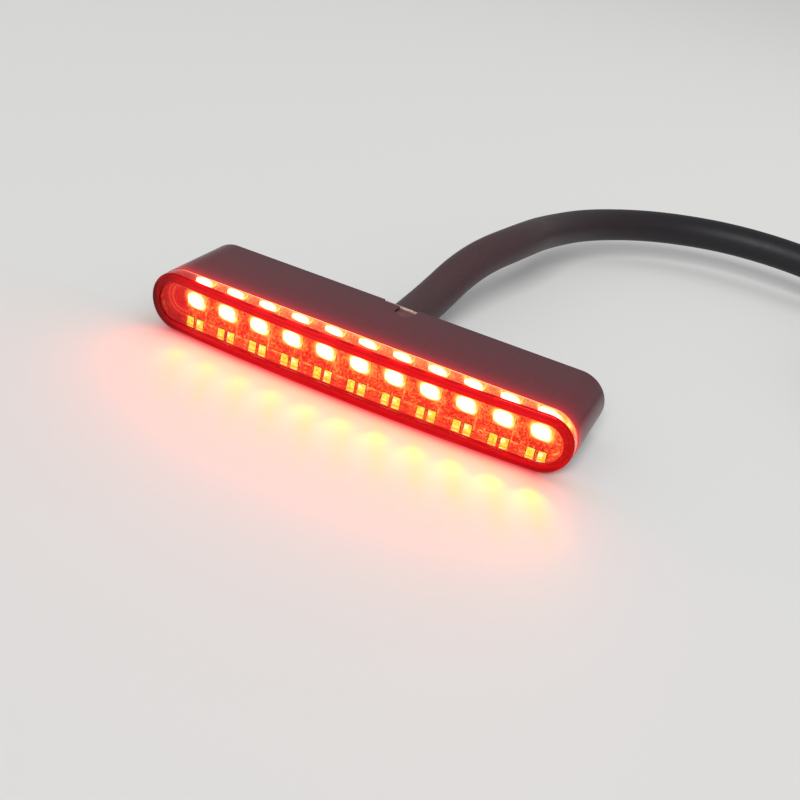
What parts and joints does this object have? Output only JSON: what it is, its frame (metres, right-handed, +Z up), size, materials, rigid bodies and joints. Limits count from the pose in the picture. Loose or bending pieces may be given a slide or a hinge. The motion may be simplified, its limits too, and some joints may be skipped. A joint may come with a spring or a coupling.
{
  "type": "bar tail light",
  "caption": "Slim bar-shaped LED tail light with pill-section black housing, clear block lens, potted back and a round flying lead ending in bullet terminals.",
  "frame": {"origin": "bottom centre of the light itself, on the surface it rests on, without the lead", "axes": "+X along the bar, the lens faces -Y, +Z up"},
  "size_m": [0.2253, 0.131, 0.0163],
  "materials": {
    "housing_plastic": "satin moulded",
    "clear_lens": "clear polished resin",
    "seal_silicone": "translucent silicone",
    "board_mask": "solder mask",
    "led_body": "white moulded",
    "led_glow": "lit phosphor window",
    "tinned_pads": "tinned",
    "tinned_tracks": "tinned copper",
    "resistor_body": "glazed",
    "tinned_caps": "tinned",
    "moulded_black": "moulded epoxy",
    "capacitor_tan": "ceramic",
    "solder": "solder",
    "pvc_black": "PVC insulation",
    "pvc_yellow": "PVC insulation",
    "pvc_red": "PVC insulation",
    "potting_black": "cast epoxy",
    "adhesive_beige": "cured adhesive",
    "jacket_black": "satin PVC jacket",
    "shrink_black": "heat-shrink",
    "sleeve_clear": "soft PVC",
    "plated_brass": "plated"
  },
  "bodies": {
    "root": {"housing": "housing_plastic", "lens": "clear_lens", "lens_seal": "seal_silicone", "circuit_board": "board_mask", "led_packages": "led_body", "led_windows": "led_glow", "led_terminals": "tinned_pads", "copper_tracks": "tinned_tracks", "resistors": "resistor_body", "resistor_caps": "tinned_caps", "blocking_diode": "moulded_black", "diode_tabs": "tinned_caps", "current_regulator": "moulded_black", "regulator_pins": "tinned_caps", "capacitor": "capacitor_tan", "solder_joints": "solder", "lead_ground": "pvc_black", "lead_tail": "pvc_yellow", "lead_brake": "pvc_red", "potting_compound": "potting_black", "notch_adhesive": "adhesive_beige", "cable_jacket": "jacket_black", "cable_coil": "jacket_black", "cable_tail": "jacket_black", "end_sleeve": "shrink_black", "tail_wire_black": "pvc_black", "tail_wire_red": "pvc_red", "tail_wire_yellow": "pvc_yellow", "terminal_sleeves": "sleeve_clear", "bullet_terminals": "plated_brass"}
  },
  "joints": []
}
